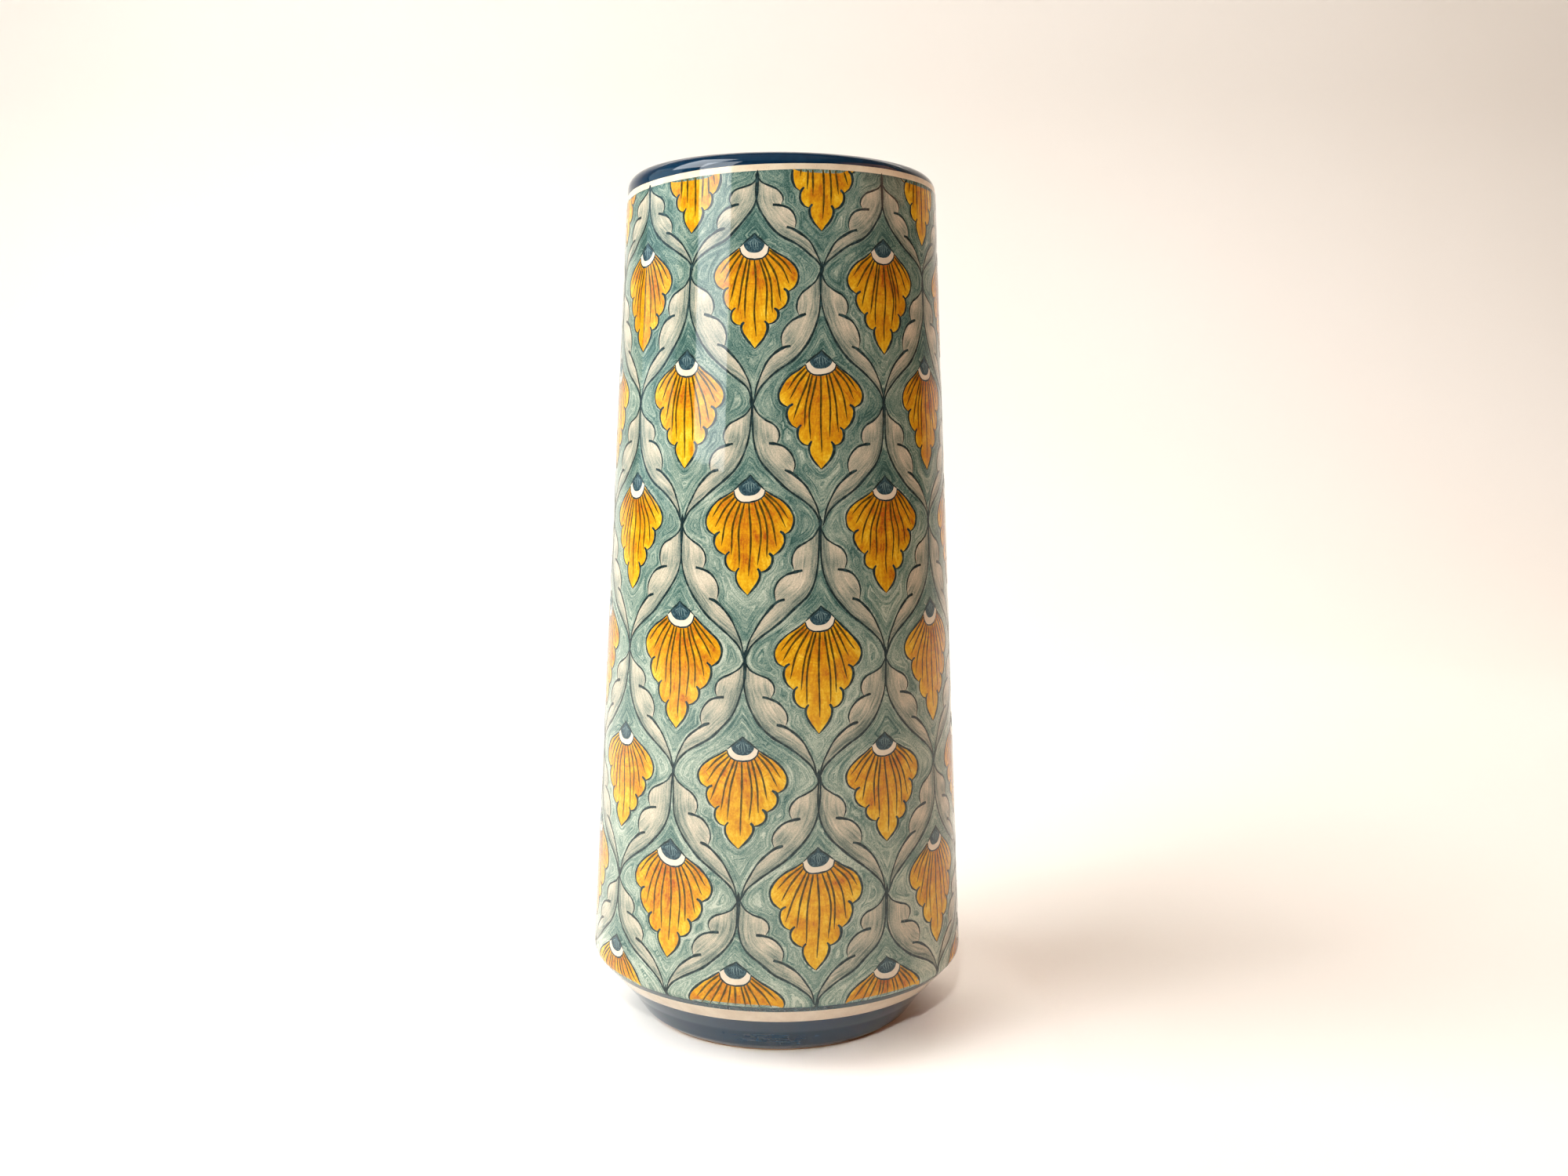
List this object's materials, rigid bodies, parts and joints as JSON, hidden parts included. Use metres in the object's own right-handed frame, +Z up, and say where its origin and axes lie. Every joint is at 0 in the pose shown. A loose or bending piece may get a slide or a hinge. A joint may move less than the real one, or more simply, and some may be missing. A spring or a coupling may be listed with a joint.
{
  "type": "talavera pottery vase",
  "caption": "Tall open vase in tin-glazed earthenware with painted palmettes and leaves, for holding cut flowers.",
  "frame": {"origin": "centre of the foot ring, on the surface that the vase stands on", "axes": "+Z up along the vase's turning axis; +X to the viewer's right and -Y towards the viewer, as the painted pattern is placed"},
  "size_m": [0.1344, 0.1344, 0.3],
  "materials": {
    "clay_base": "unglazed bisque, matte",
    "clay_wall": "bisque, hidden under the glaze",
    "foot_glaze": "glossy dark blue glaze",
    "base_cream": "glossy cream tin glaze",
    "base_line": "glossy dark teal line",
    "painted_field": "glossy green ground with painted palmettes and leaves",
    "rim_cream": "glossy cream tin glaze",
    "rim_glaze": "glossy dark blue glaze",
    "inside_glaze": "glossy cream-white tin glaze"
  },
  "bodies": {
    "root": {"clay_base": "clay_base", "clay_wall": "clay_wall", "foot_glaze": "foot_glaze", "base_cream": "base_cream", "base_line": "base_line", "painted_field": "painted_field", "rim_cream": "rim_cream", "rim_glaze": "rim_glaze", "inside_glaze": "inside_glaze"}
  },
  "joints": []
}
